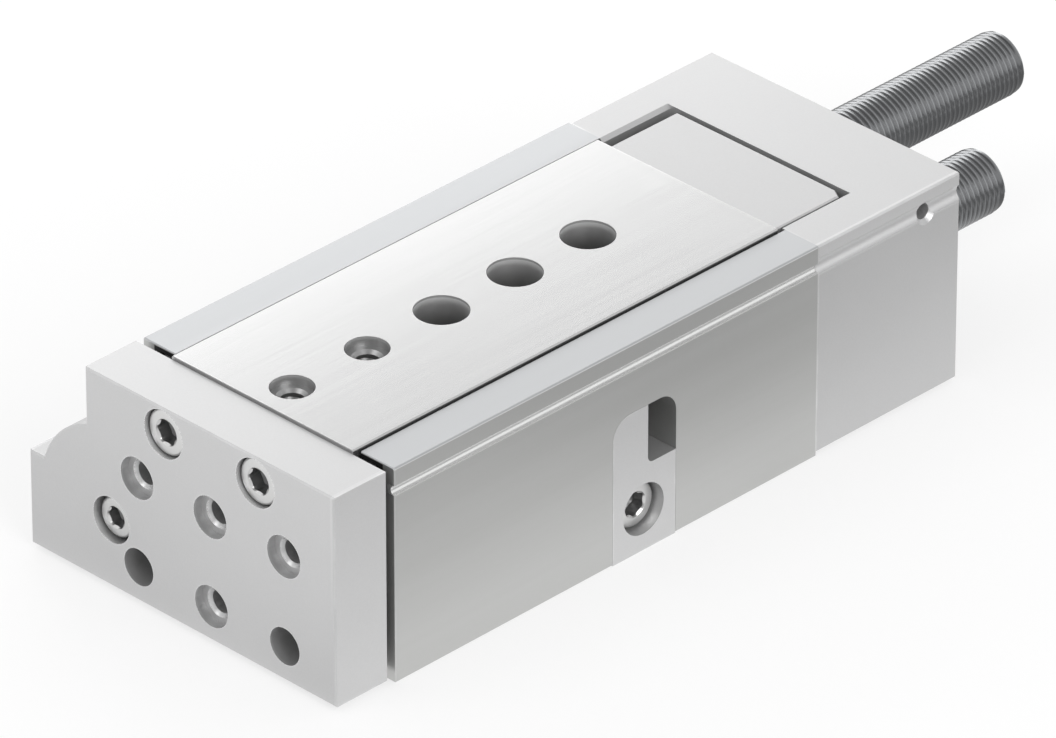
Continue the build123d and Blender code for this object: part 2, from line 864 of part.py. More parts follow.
# Piston rod, with a stem for the piston and its nut
with BuildPart() as piston_rod:
    turn_profile(
        barrel_x,
        barrel_z,
        [
            (yoke_rear, m5_core_radius),
            (yoke_rear, rod_radius - tap_chamfer),
            (yoke_rear + tap_chamfer, rod_radius),
            (piston_front, rod_radius),
            (piston_front, rod_stem_radius),
            (piston_rear - nut_recess + nut_height + stem_overhang, rod_stem_radius),
            (piston_rear - nut_recess + nut_height + stem_overhang, 0),
            (yoke_rear + rod_tap_depth, 0),
            (yoke_rear + rod_tap_depth, m5_core_radius),
        ],
    )
piston_rod.part.label = "piston_rod"

# Piston with grooves, from the front, for a lip seal, the magnet, the guide ring and a lip seal
piston_radius = bore_radius - piston_clearance
ring_widths = (lip_seal_width, magnet_width, guide_ring_width, lip_seal_width)
ring_spacing = (piston_length - sum(ring_widths)) / (len(ring_widths) + 1)
ring_starts = [
    piston_front + (index + 1) * ring_spacing + sum(ring_widths[:index]) for index in range(len(ring_widths))
]
ring_depths = (lip_seal_depth, magnet_depth, guide_ring_depth, lip_seal_depth)

with BuildPart() as piston:
    turn_ring(barrel_x, barrel_z, piston_front, piston_rear, rod_stem_radius + round_clearance, piston_radius)
    for start, width, depth in zip(ring_starts, ring_widths, ring_depths):
        with BuildSketch(section(start + width)):
            with Locations((barrel_x, barrel_z)):
                Circle(piston_radius + 1)
                Circle(piston_radius - depth, mode=Mode.SUBTRACT)
        extrude(amount=width, mode=Mode.SUBTRACT)
    with Locations(back_section(piston_rear)):
        with Locations((-barrel_x, barrel_z)):
            Hole(nut_recess_radius, depth=nut_recess)
piston.part.label = "piston"

with BuildPart() as piston_lip_seals:
    for start, lean in ((ring_starts[0], 0), (ring_starts[3], 1)):
        inner = piston_radius - lip_seal_depth + round_clearance
        outer = bore_radius - seal_clearance
        notch = start + lip_seal_width * lean
        inward = start + lip_seal_width * (0.55 if lean == 0 else 0.45)
        heel = start + lip_seal_width * (1 - lean)
        turn_profile(
            barrel_x,
            barrel_z,
            [
                (heel, inner),
                (notch, inner),
                (notch, inner + 0.5),
                (inward, inner + 0.9),
                (notch, outer - 0.6),
                (notch, outer),
                (heel, outer - 0.35),
            ],
        )
piston_lip_seals.part.label = "piston_lip_seals"

with BuildPart() as piston_magnet:
    turn_ring(
        barrel_x,
        barrel_z,
        ring_starts[1],
        ring_starts[1] + magnet_width,
        piston_radius - magnet_depth + round_clearance,
        piston_radius - magnet_cover,
    )
piston_magnet.part.label = "piston_magnet"

with BuildPart() as piston_guide_ring:
    turn_ring(
        barrel_x,
        barrel_z,
        ring_starts[2],
        ring_starts[2] + guide_ring_width,
        piston_radius - guide_ring_depth + round_clearance,
        bore_radius - seal_clearance,
    )
piston_guide_ring.part.label = "piston_guide_ring"

with BuildPart() as piston_nut:
    with BuildSketch(back_section(piston_rear - nut_recess)):
        with Locations((-barrel_x, barrel_z)):
            RegularPolygon(nut_across / 2, 6, major_radius=False)
            Circle(rod_stem_radius + screw_gap, mode=Mode.SUBTRACT)
    extrude(amount=nut_height)
piston_nut.part.label = "piston_nut"

with BuildPart() as front_buffer_ring:
    turn_ring(
        barrel_x,
        barrel_z,
        piston_front - buffer_ring_width,
        piston_front,
        buffer_ring_inner,
        buffer_ring_outer,
    )
front_buffer_ring.part.label = "front_buffer_ring"

with BuildPart() as rear_buffer_ring:
    turn_ring(
        barrel_x,
        barrel_z,
        piston_rear,
        piston_rear + buffer_ring_width,
        buffer_ring_inner,
        buffer_ring_outer,
    )
rear_buffer_ring.part.label = "rear_buffer_ring"

# Rod gland, with a rod seal in its front and an O-ring outside, held by a retaining ring
gland_outer = bore_radius - round_clearance
gland_ring_centre = bore_radius - gland_ring_radius - seal_clearance
gland_ring_front = gland_rear - gland_ring_back - gland_ring_width

with BuildPart() as rod_gland:
    turn_profile(
        barrel_x,
        barrel_z,
        [
            (gland_front, gland_seal_outer),
            (gland_front, gland_outer),
            (gland_ring_front, gland_outer),
            (gland_ring_front, gland_ring_centre - gland_ring_radius - seal_clearance),
            (gland_ring_front + gland_ring_width, gland_ring_centre - gland_ring_radius - seal_clearance),
            (gland_ring_front + gland_ring_width, gland_outer),
            (gland_rear, gland_outer),
            (gland_rear, rod_radius + seal_clearance),
            (gland_front + gland_seal_width, rod_radius + seal_clearance),
            (gland_front + gland_seal_width, gland_seal_outer),
        ],
    )
rod_gland.part.label = "rod_gland"

with BuildPart() as rod_seal:
    turn_profile(
        barrel_x,
        barrel_z,
        [
            (gland_front - 0.3, rod_radius + seal_clearance),
            (gland_front - 0.3, rod_radius + 0.5),
            (gland_front + 0.3, rod_radius + 1.2),
            (gland_front + 0.3, gland_seal_outer - round_clearance),
            (gland_front + gland_seal_width, gland_seal_outer - round_clearance),
            (gland_front + gland_seal_width, rod_radius + 0.7),
            (gland_front + gland_seal_width / 2, rod_radius + 0.7),
        ],
    )
rod_seal.part.label = "rod_seal"

with BuildPart() as gland_o_ring:
    with BuildSketch(Plane(origin=(barrel_x, 0, barrel_z), x_dir=(0, 1, 0), z_dir=(1, 0, 0))):
        with Locations((gland_ring_front + gland_ring_width / 2, gland_ring_centre)):
            Circle(gland_ring_radius)
    revolve(axis=Axis((barrel_x, 0, barrel_z), (0, 1, 0)))
gland_o_ring.part.label = "gland_o_ring"

with BuildPart() as gland_circlip:
    with BuildSketch(section(gland_front)):
        with Locations((barrel_x, barrel_z)):
            circlip_outer = bore_radius + circlip_depth - round_clearance
            circlip_inner = circlip_outer - circlip_width
            Circle(circlip_outer)
            Circle(circlip_inner, mode=Mode.SUBTRACT)
            ear_angle = circlip_opening / 2 + 7
            opening = radians(circlip_opening / 2)
            reach = 1.5 * circlip_outer
            with BuildLine():
                Polyline(
                    (0, 0),
                    (-reach * sin(opening), -reach * cos(opening)),
                    (reach * sin(opening), -reach * cos(opening)),
                    close=True,
                )
            make_face(mode=Mode.SUBTRACT)
            for turn in (-ear_angle, ear_angle):
                ear = (circlip_inner * sin(radians(turn)), -circlip_inner * cos(radians(turn)))
                with Locations(ear):
                    Circle(circlip_ear_radius)
                    Circle(circlip_ear_hole, mode=Mode.SUBTRACT)
    extrude(amount=circlip_thickness)
gland_circlip.part.label = "gland_circlip"

os.makedirs("parts", exist_ok=True)
export_step(housing.part, "parts/housing.step")
export_step(end_cap.part, "parts/end_cap.step")
export_step(end_cap_screws.part, "parts/end_cap_screws.step")
export_step(yoke_plate.part, "parts/yoke_plate.step")
export_step(yoke_slide_screws.part, "parts/yoke_slide_screws.step")
export_step(piston_rod_screw.part, "parts/piston_rod_screw.step")
export_step(slide_table.part, "parts/slide_table.step")
export_step(table_magnet.part, "parts/table_magnet.step")
export_step(rear_stop_block.part, "parts/rear_stop_block.step")
export_step(stop_block_screws.part, "parts/stop_block_screws.step")
export_step(guide_rail_left.part, "parts/guide_rail_left.step")
export_step(guide_rail_right.part, "parts/guide_rail_right.step")
export_step(ball_cage_left.part, "parts/ball_cage_left.step")
export_step(ball_cage_right.part, "parts/ball_cage_right.step")
export_step(balls_left.part, "parts/balls_left.step")
export_step(balls_right.part, "parts/balls_right.step")
export_step(side_stop.part, "parts/side_stop.step")
export_step(side_stop_screw.part, "parts/side_stop_screw.step")
export_step(retract_stop_sleeve.part, "parts/retract_stop_sleeve.step")
export_step(retract_stop_buffer.part, "parts/retract_stop_buffer.step")
export_step(extend_stop_sleeve.part, "parts/extend_stop_sleeve.step")
export_step(extend_stop_buffer.part, "parts/extend_stop_buffer.step")
export_step(sleeve_lock_screw.part, "parts/sleeve_lock_screw.step")
export_step(piston_rod.part, "parts/piston_rod.step")
export_step(piston.part, "parts/piston.step")
export_step(piston_lip_seals.part, "parts/piston_lip_seals.step")
export_step(piston_magnet.part, "parts/piston_magnet.step")
export_step(piston_guide_ring.part, "parts/piston_guide_ring.step")
export_step(piston_nut.part, "parts/piston_nut.step")
export_step(front_buffer_ring.part, "parts/front_buffer_ring.step")
export_step(rear_buffer_ring.part, "parts/rear_buffer_ring.step")
export_step(rod_gland.part, "parts/rod_gland.step")
export_step(rod_seal.part, "parts/rod_seal.step")
export_step(gland_o_ring.part, "parts/gland_o_ring.step")
export_step(gland_circlip.part, "parts/gland_circlip.step")
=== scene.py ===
from collections import namedtuple
from functools import reduce
from math import cos, pi, radians, sin

import bmesh
import bpy
from bpy.props import FloatProperty, FloatVectorProperty, IntProperty, PointerProperty
from mathutils import Matrix, Vector


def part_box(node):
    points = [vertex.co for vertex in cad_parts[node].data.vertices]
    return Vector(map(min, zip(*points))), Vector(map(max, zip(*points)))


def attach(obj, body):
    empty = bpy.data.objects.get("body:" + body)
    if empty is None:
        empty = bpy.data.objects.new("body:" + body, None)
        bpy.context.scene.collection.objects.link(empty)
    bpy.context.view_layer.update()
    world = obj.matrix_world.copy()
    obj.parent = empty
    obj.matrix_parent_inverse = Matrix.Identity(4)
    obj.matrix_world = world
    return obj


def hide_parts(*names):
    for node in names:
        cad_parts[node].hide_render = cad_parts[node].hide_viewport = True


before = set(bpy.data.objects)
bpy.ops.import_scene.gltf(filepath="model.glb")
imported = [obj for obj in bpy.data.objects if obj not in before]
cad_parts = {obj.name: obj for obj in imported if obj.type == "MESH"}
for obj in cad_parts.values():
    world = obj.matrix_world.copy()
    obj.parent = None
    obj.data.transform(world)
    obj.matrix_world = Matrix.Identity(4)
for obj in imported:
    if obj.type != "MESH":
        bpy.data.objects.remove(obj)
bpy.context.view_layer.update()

bl_info = {
    "name": "Guided slide dressing",
    "version": (1, 0, 0),
    "blender": (4, 5, 0),
    "location": "3D View > Sidebar > Slide",
    "description": "Gives the guided slide its finishes, threads, screws and studio",
    "category": "Object",
}

MM = 0.001

# Each way a piece can face: the axis, the end of a box on that side, and the turn that brings +Z to it
FACING = {
    "front": (1, 0, Matrix.Rotation(radians(90), 4, "X")),
    "rear": (1, 1, Matrix.Rotation(radians(-90), 4, "X")),
    "right": (0, 1, Matrix.Rotation(radians(90), 4, "Y")),
    "left": (0, 0, Matrix.Rotation(radians(-90), 4, "Y")),
    "up": (2, 1, Matrix.Identity(4)),
    "down": (2, 0, Matrix.Rotation(radians(180), 4, "X")),
}

# Holes and screws on each face, in millimetres along the two axes that span it
YOKE_TAPPED = ((-20, 29), (0, 29), (20, 29), (0, 9))
YOKE_PLAIN = ((-20, 9), (20, 9))
YOKE_SCREWS = ((-12.5, 42.05), (12.5, 42.05))
ROD_SCREW = (-27.4, 16.4)
TABLE_TAPPED = ((0, -60), (0, -40))
TABLE_PLAIN = ((0, -20), (0, 0), (0, 20))
BLOCK_SCREWS = ((-13.0, 42.05), (13.0, 42.05))
CAP_SCREWS = ((28.7, 33.5), (28.7, 15.5), (-44.0, 15.5), (-28.6, 33.5))
CAP_TAPPED = (79.4, 42.6)
SIDE_SCREW = (0.7, 9.3)
BASE_TAPPED = ((25, -40), (25, 40), (-45, -40), (-45, 40))
AIR_PORTS = ((-46.6, 16.4), (5.4, 16.4))
SENSOR_GROOVE_HEIGHT = 42.8

# Cap screws: radii of the head, the shank and the socket, the head's height and the thread's pitch
Screw = namedtuple("Screw", "head height shank socket pitch")
M5_SCREW = Screw(head=4.25, height=5.0, shank=2.05, socket=2.42, pitch=0.8)
M6_SCREW = Screw(head=4.9, height=6.0, shank=2.45, socket=2.87, pitch=1.0)

# Threads: radii at the ridge's foot and at its crest, and the pitch
Thread = namedtuple("Thread", "foot crest pitch")
M4_THREAD = Thread(foot=1.73, crest=1.48, pitch=0.7)
M5_THREAD = Thread(foot=2.13, crest=1.85, pitch=0.8)
M6_THREAD = Thread(foot=2.53, crest=2.2, pitch=1.0)

# Faces around a screw's head, around the ridge on its shank and around the ridges in holes
HEAD_STEPS = 48
SHANK_STEPS = 24
HOLE_STEPS = 28

# Edges between faces that meet at more than this stay sharp
SHARP = radians(32.0)

# The point that the camera looks at, in metres
AIM = Vector((0.05061, -0.04751, 0.06859))

BLACK = (0.0, 0.0, 0.0)
WHITE = (1.0, 1.0, 1.0)


class SlideSizes(bpy.types.PropertyGroup):
    """Sizes of the pieces that are added to the frame, in millimetres."""

    sleeve_pitch: FloatProperty(
        name="Sleeve pitch",
        description="Rise of the stop sleeves' thread in one turn, mm",
        default=1.33,
        min=0.5,
    )
    sleeve_thread_depth: FloatProperty(
        name="Sleeve thread depth",
        description="Depth of the stop sleeves' thread, mm",
        default=0.14,
        min=0.05,
    )
    screw_edge: FloatProperty(
        name="Screw head edge",
        description="Rounding of the screw heads' rims, mm",
        default=0.55,
        min=0.1,
    )
    lobe_depth: FloatProperty(
        name="Socket lobes",
        description="Depth of the lobes in the screws' sockets, as a share of the socket's radius",
        default=0.075,
        min=0.0,
        max=0.3,
    )
    turn_steps: IntProperty(
        name="Turn steps",
        description="Faces around a stop sleeve",
        default=60,
        min=24,
        max=120,
    )


class SlideFinishes(bpy.types.PropertyGroup):
    """Base colours of the finishes."""

    profile: FloatVectorProperty(
        name="Housing",
        description="Drawn and anodised aluminium",
        subtype="COLOR",
        size=3,
        default=(0.53, 0.532, 0.528),
    )
    blasted: FloatVectorProperty(
        name="Yoke and cap",
        description="Blasted and anodised aluminium",
        subtype="COLOR",
        size=3,
        default=(0.58, 0.58, 0.582),
    )
    ground: FloatVectorProperty(
        name="Table",
        description="Fine-ground steel",
        subtype="COLOR",
        size=3,
        default=(0.54, 0.54, 0.54),
    )
    sleeve: FloatVectorProperty(
        name="Sleeves",
        description="Dark threaded steel",
        subtype="COLOR",
        size=3,
        default=(0.178, 0.182, 0.187),
    )
    screw: FloatVectorProperty(
        name="Screws",
        description="Satin stainless steel",
        subtype="COLOR",
        size=3,
        default=(0.64, 0.64, 0.635),
    )
    # Darker than the screws: painted shade down in the sockets
    socket: FloatVectorProperty(
        name="Sockets",
        description="Oiled steel down in the screws' sockets",
        subtype="COLOR",
        size=3,
        default=(0.33, 0.33, 0.33),
    )


class StudioSettings(bpy.types.PropertyGroup):
    """Camera and light of the studio."""

    azimuth: FloatProperty(
        name="Azimuth",
        description="Camera's turn from the front to the right",
        subtype="ANGLE",
        default=radians(44.75),
    )
    elevation: FloatProperty(
        name="Elevation",
        description="Camera's height over the horizon",
        subtype="ANGLE",
        default=radians(31.20),
    )
    distance: FloatProperty(
        name="Distance",
        description="From the camera to the point it looks at",
        unit="LENGTH",
        default=2.2662,
    )
    lens: FloatProperty(
        name="Lens",
        description="Focal length on a 36 mm sensor, mm",
        default=413.33,
    )
    sky: FloatProperty(
        name="Sky",
        description="Strength of the world's light on the object",
        default=0.78,
    )
    ceiling: FloatProperty(
        name="Ceiling",
        description="Level of the studio's ceiling in metal that mirrors it",
        default=0.35,
    )
    # Painted light and painted shade: the levels of the floor where metal mirrors it
    ground_near: FloatProperty(
        name="Floor by the slide",
        description="Level of the floor in metal that mirrors it, where it is lit",
        default=1.14,
    )
    ground_far: FloatProperty(
        name="Floor to the right",
        description="Level of the floor in metal that mirrors it, out of the light",
        default=0.40,
    )
    floor_shadow: FloatProperty(
        name="Floor shadow",
        description="Share of the slide's shadow that shows on the floor",
        default=0.35,
        min=0.0,
        max=1.0,
    )
    key_power: FloatProperty(
        name="Key lamp",
        description="Power of the lamp in front",
        unit="POWER",
        default=5.0,
    )
    strip_power: FloatProperty(
        name="Left strip",
        description="Power of the low lamp to the left of the sleeves",
        unit="POWER",
        default=1.7,
    )
    fill_power: FloatProperty(
        name="Right fill",
        description="Power of the lamp to the right",
        unit="POWER",
        default=9.5,
    )


class Value:
    """A shader value that takes part in sums, adding a Math node for each."""

    def __init__(self, shading, socket):
        self.shading = shading
        self.socket = socket

    def math(self, operation, *others):
        operands = dict(enumerate((self, *others)))
        return self.shading.value("ShaderNodeMath", {"operation": operation}, operands)

    def __add__(self, other):
        return self.math("ADD", other)

    def __sub__(self, other):
        return self.math("SUBTRACT", other)

    def __rsub__(self, other):
        return self.shading.value("ShaderNodeMath", {"operation": "SUBTRACT"}, {0: other, 1: self})

    def __mul__(self, other):
        return self.math("MULTIPLY", other)

    def __pow__(self, other):
        return self.math("POWER", other)

    def __abs__(self):
        return self.math("ABSOLUTE")

    __radd__ = __add__
    __rmul__ = __mul__

    def least(self, other):
        return self.math("MINIMUM", other)

    def most(self, other):
        return self.math("MAXIMUM", other)

    def rise(self, low, high):
        """0 below low, 1 above high, and a smooth rise between them."""
        settings = {"interpolation_type": "SMOOTHSTEP"}
        return self.shading.value("ShaderNodeMapRange", settings, {0: self, 1: low, 2: high})


class Shading:
    """A node tree that starts empty."""

    def __init__(self, tree):
        self.tree = tree
        tree.nodes.clear()

    def node(self, kind, settings, inputs):
        """A node with its settings made first and then its inputs given or linked."""
        node = self.tree.nodes.new(kind)
        for name, setting in settings.items():
            if name == "stops":
                elements = node.color_ramp.elements
                while len(elements) < len(setting):
                    elements.new(0.5)
                for element, (position, colour) in zip(elements, setting):
                    element.position = position
                    element.color = (*colour, 1.0)
            else:
                setattr(node, name, setting)
        for key, given in inputs.items():
            source = given.socket if isinstance(given, Value) else given
            if isinstance(source, bpy.types.NodeSocket):
                self.tree.links.new(source, node.inputs[key])
            else:
                node.inputs[key].default_value = source
        return node

    def value(self, kind, settings, inputs, output=0):
        """The same, with one output as a value for sums."""
        return Value(self, self.node(kind, settings, inputs).outputs[output])

    def ramp(self, stops, amount):
        """A colour from a row of (position, colour) stops."""
        return self.node("ShaderNodeValToRGB", {"stops": stops}, {0: amount}).outputs[0]


class Finish(Shading):
    """A procedural material: its nodes, and what its surface is made from."""

    def __init__(self, name, metallic, roughness):
        self.material = bpy.data.materials.new(name)
        self.material.use_nodes = True
        super().__init__(self.material.node_tree)
        inputs = {"Metallic": metallic, "Roughness": roughness}
        self.shader = self.node("ShaderNodeBsdfPrincipled", {}, inputs)
        self.output = self.node("ShaderNodeOutputMaterial", {}, {"Surface": self.shader.outputs[0]})
        self.place = self.node("ShaderNodeTexCoord", {}, {}).outputs["Object"]

    def axes(self):
        """The place on the object in millimetres, as three values."""
        parts = self.node("ShaderNodeSeparateXYZ", {}, {0: self.place})
        return [Value(self, output) * 1000.0 for output in parts.outputs]

    def noise(self, scale, detail=3.0, rough=0.55, stretch=None):
        """Noise from 0 to 1, with its grain drawn out by stretch."""
        place = self.place
        if stretch:
            place = self.node("ShaderNodeMapping", {}, {"Vector": place, "Scale": stretch}).outputs[0]
        inputs = {"Vector": place, "Scale": scale, "Detail": detail, "Roughness": rough}
        return self.value("ShaderNodeTexNoise", {}, inputs)

    def box_edges(self, box, width=0.5):
        """1 along the outer edges of a box given as low and high corners in millimetres."""
        near = []
        for part, low, high in zip(self.axes(), *box):
            gap = abs(part - low).least(abs(part - high))
            near.append(1.0 - gap.rise(0.0, width))
        return (near[0] * near[1]).most(near[1] * near[2]).most(near[0] * near[2])

    def sunk(self, box):
        """1 in holes and recesses: everywhere that is deeper than the box's faces by 0.7 mm."""
        depths = [(part - low).least(high - part) for part, low, high in zip(self.axes(), *box)]
        return reduce(Value.__mul__, [depth.rise(0.35, 0.7) for depth in depths])

    def rims(self, across, up, depth, holes):
        """1 on the face round each hole's mouth. Holes are (across, up, radius), depth is 0 on the face."""
        rings = []
        for a, b, radius in holes:
            gap = abs(distance(across - a, up - b) - radius)
            rings.append(1.0 - gap.rise(0.064, 0.16))
        return reduce(Value.most, rings) * (1.0 - depth.rise(0.02, 0.12))

    def lips(self, across, up, depth, holes, reach):
        """1 just under each hole's mouth, fading down its wall by the reach, in millimetres."""
        bores = []
        for a, b, radius in holes:
            bores.append(1.0 - distance(across - a, up - b).rise(radius + 0.05, radius + 0.15))
        return reduce(Value.most, bores) * depth.rise(0.03, 0.12) * (1.0 - depth.rise(0.12, reach))

    def between(self, dark, light, amount):
        """A colour between dark and light, by amount from 0 to 1."""
        return self.ramp(((0.0, dark), (1.0, light)), amount)

    def toned(self, colour, tone):
        """The colour by its tone: black at 0, as given at two thirds, and half as bright again at 1."""
        return self.between(BLACK, shade(colour, 1.5), tone)

    def surface(self, colour, roughness, height, depth, metallic=None):
        """Joins what varies to the shader. depth is the height's relief in millimetres."""
        self.tree.links.new(colour, self.shader.inputs["Base Color"])
        self.tree.links.new(roughness.socket, self.shader.inputs["Roughness"])
        if metallic is not None:
            self.tree.links.new(metallic.socket, self.shader.inputs["Metallic"])
        inputs = {"Height": height, "Distance": depth * MM, "Strength": 1.0}
        bump = self.node("ShaderNodeBump", {}, inputs)
        self.tree.links.new(bump.outputs[0], self.shader.inputs["Normal"])
        return self.material


def distance(across, up):
    """How far a place is from an axis, from its offsets across and up."""
    return (across * across + up * up) ** 0.5


def shade(colour, factor):
    """A colour made darker or lighter."""
    return tuple(min(part * factor, 1.0) for part in colour)


def corners(node):
    """A node's box in millimetres, as low and high corners."""
    low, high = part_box(node)
    return [part / MM for part in low], [part / MM for part in high]


def outer_face(node, facing):
    """Where a node's box ends on the side that it faces, in millimetres."""
    axis, end = FACING[facing][:2]
    return round(corners(node)[end][axis], 2)


def mouths(places, radius):
    """Holes as (across, up, radius), from their places and the radius of their mouths."""
    return [(*place, radius) for place in places]


def blasted_aluminium(name, colour, box, holes=(), tapped=(), recess_shade=0.12, lift=(0.0, 1.0, 0.0)):
    """Bead-blasted and clear anodised: an even fine grain, brighter on handled edges and round hole mouths
    (wear with a painted highlight) and darker in recesses (painted shade).

    recess is how much painted shade darkens the recesses. lift is painted light on the right side,
    brightening it from one height to another, by an amount. The chamfers of tapped holes lie deeper than 2
    mm and take a painted highlight.
    """
    finish = Finish(name, 0.66, 0.42)
    grain = finish.noise(2600.0, 2.0, 0.6)
    cloud = finish.noise(22.0, 3.0)
    # Edge wear with a painted highlight along the edges
    wear_and_highlight = finish.box_edges(box) * finish.noise(140.0, 3.0).rise(0.35, 0.7)
    x, y, z = finish.axes()
    depth = y - box[0][1]
    if holes:
        # Painted highlight on the face round each hole's mouth
        wear_and_highlight = wear_and_highlight.most(finish.rims(x, z, depth, holes))
    if tapped:
        # Painted highlight on the chamfers under the tapped holes' mouths
        wear_and_highlight = wear_and_highlight.most(finish.lips(x, z, depth - 2.05, tapped, 0.8))
    low, high, amount = lift
    # Painted light: the right side brightens upwards
    side = z.rise(low, high) * (x - box[1][0]).rise(-1.1, -0.9) * amount
    tone = 0.60 + cloud * 0.07 + grain * 0.06 + wear_and_highlight * 0.15 + side
    # Painted shade in the holes and recesses
    tone = tone * (1.0 - finish.sunk(box) * recess_shade)
    roughness = 0.33 + grain * 0.07 + cloud * 0.06 - wear_and_highlight * 0.12
    return finish.surface(finish.toned(colour, tone), roughness, grain, 0.006)


def drawn_aluminium(name, colour, box):
    """Drawn profile, anodised: streaks along the travel and edge wear, with painted highlights along its
    edges and in the sensor slot, painted shade that turns the channel near black, and a darker, bluer top
    face that is painted shade and reflection.
    """
    finish = Finish(name, 0.85, 0.38)
    streak = finish.noise(420.0, 4.0, 0.6, (1.0, 0.012, 1.0))
    broad = finish.noise(60.0, 3.0, 0.5, (1.0, 0.05, 1.0))
    grain = finish.noise(2400.0, 2.0, 0.6, (1.0, 0.25, 1.0))
    # Edge wear with a painted highlight along the edges
    wear_and_highlight = finish.box_edges(box) * finish.noise(120.0, 3.0).rise(0.35, 0.7)
    x, y, z = finish.axes()
    right, height = box[1][0], box[1][2]
    wall, channel_floor = 2.8, 34.0
    # The top face gets its own darker, bluer colour further down: painted shade and reflection
    top = z.rise(height - 0.5, height - 0.1)
    within = (right - wall - x).rise(0.0, 0.4) * (x + right - wall).rise(0.0, 0.4)
    # The channel's inside goes near black: painted shade
    channel_shade = within * z.rise(channel_floor, channel_floor + 2.0)
    inward = (right - x).rise(0.06, 0.14) * (x - right + 2.0).rise(0.0, 0.2)
    # Painted highlight in the sensor slot
    groove_sheen = inward * (1.0 - abs(z - SENSOR_GROOVE_HEIGHT).rise(1.0, 1.2))
    # Painted highlight along the edges and in the sensor slot
    bright = finish.box_edges(box, 0.3).most(groove_sheen)
    tone = (streak * 0.35 + broad * 0.45 + grain * 0.15 + wear_and_highlight * 0.4).least(1.0) * (1.0 - top)
    mix = 0.1 + tone * 0.6 * (1.0 - bright) + bright * 0.7 + top
    mix = mix * (1.0 - channel_shade * (1.0 - top))
    dark = (0.87 * colour[0], 0.87 * colour[1], 0.855 * colour[2])
    # The top face's colour: painted shade and painted reflection
    painted_top_tone = (0.90 * colour[0], 0.912 * colour[1], 0.935 * colour[2])
    stops = (
        (0.0, (0.05, 0.05, 0.05)),
        (0.1, dark),
        (0.7, shade(colour, 1.11)),
        (0.8, shade(colour, 1.5)),
        (1.0, painted_top_tone),
    )
    roughness = 0.29 + streak * 0.12 + grain * 0.05 - wear_and_highlight * 0.08 - groove_sheen * 0.12
    return finish.surface(finish.ramp(stops, mix), roughness, streak * 0.7 + grain * 0.3, 0.008)


def ground_steel(name, colour, box, holes=(), recess_shade=0.25):
    """Fine-ground steel: long hairlines, a soft sheen and a few light rubs.

    Its holes carry painted shade: those in front of a line are darker all the way down, and those past it
    take a painted light under their mouths and painted shade further down. Their walls are dull under the
    mouths, where they catch the light from above. Its edges and the face round the hole mouths take a
    painted highlight.
    """
    finish = Finish(name, 0.92, 0.26)
    hair = finish.noise(900.0, 3.0, 0.6, (1.0, 0.02, 1.0))
    cloud = finish.noise(16.0, 2.0)
    rub = finish.noise(70.0, 4.0, 0.65, (1.0, 0.35, 1.0)).rise(0.62, 0.80)
    # Painted highlight along the edges
    wear_and_highlight = finish.box_edges(box, 0.4)
    x, y, z = finish.axes()
    deep = finish.sunk(box)
    # Holes in front of this line take plain painted shade; those past it take painted light under the mouths
    bore_shade_line = -30.0
    rear_bore_light_and_shade = deep * y.rise(bore_shade_line - 1.0, bore_shade_line + 1.0)
    front_bore_shade = deep - rear_bore_light_and_shade
    down = box[1][2] - z
    metallic = None
    if holes:
        # Painted highlight on the face round each hole's mouth
        wear_and_highlight = wear_and_highlight.most(finish.rims(x, y, down, holes))
        metallic = 0.92 - finish.lips(x, y, down, holes, 2.2) * 0.5
    tone = 0.61 + cloud * 0.05 + hair * 0.05 + wear_and_highlight * 0.12 + rub * 0.02
    # Painted shade in the holes, and painted light under the mouths of those past the line
    tone = tone * (1.0 - front_bore_shade * recess_shade - rear_bore_light_and_shade * (down.rise(0.0, 8.0) * 0.6 - 0.4))
    roughness = 0.19 + hair * 0.06 + rub * 0.06 - wear_and_highlight * 0.04 + front_bore_shade * 0.15 + rear_bore_light_and_shade * 0.25
    return finish.surface(finish.toned(colour, tone), roughness, hair, 0.003, metallic)


def turned_steel(name, colour, centre, outer, depth, rear):
    """Steel threaded along Y: painted highlights on the crests and on a ring at the rear end, with the rest
    of the thread darker.
    """
    finish = Finish(name, 1.0, 0.17)
    x, y, z = finish.axes()
    radius = distance(x - centre[0], z - centre[1])
    # Painted highlight on the crests and on a ring at the rear end
    crest = radius.rise(outer - 0.55 * depth, outer - 0.15 * depth).most(y.rise(rear - 0.9, rear - 0.5))
    ring = finish.noise(1500.0, 2.0, 0.5, (0.05, 1.0, 0.05))
    speck = finish.noise(700.0, 3.0)
    tone = (crest * 0.62 + ring * 0.25 + speck * 0.13).least(1.0)
    mixed = finish.between(shade(colour, 0.86), shade(colour, 1.8), tone)
    return finish.surface(mixed, 0.21 + speck * 0.06, ring * 0.7 + speck * 0.3, 0.006)


def screw_steel(name, colour):
    """Satin stainless steel, with a fine grain and clouds left by handling."""
    finish = Finish(name, 0.95, 0.28)
    grain = finish.noise(1800.0, 3.0, 0.6)
    cloud = finish.noise(150.0, 3.0)
    tone = (grain * 0.5 + cloud * 0.5).least(1.0)
    mixed = finish.between(shade(colour, 0.88), shade(colour, 1.08), tone)
    return finish.surface(mixed, 0.24 + grain * 0.1 + cloud * 0.06, grain, 0.003)


def polished_steel(name, colour):
    """Hard chrome or a polished ball: near mirror, with faint hairline marks."""
    finish = Finish(name, 1.0, 0.10)
    mark = finish.noise(1500.0, 3.0, 0.6, (1.0, 0.03, 1.0))
    cloud = finish.noise(80.0, 2.0)
    mixed = finish.between(shade(colour, 0.95), shade(colour, 1.03), cloud)
    return finish.surface(mixed, 0.07 + mark * 0.09, mark, 0.001)


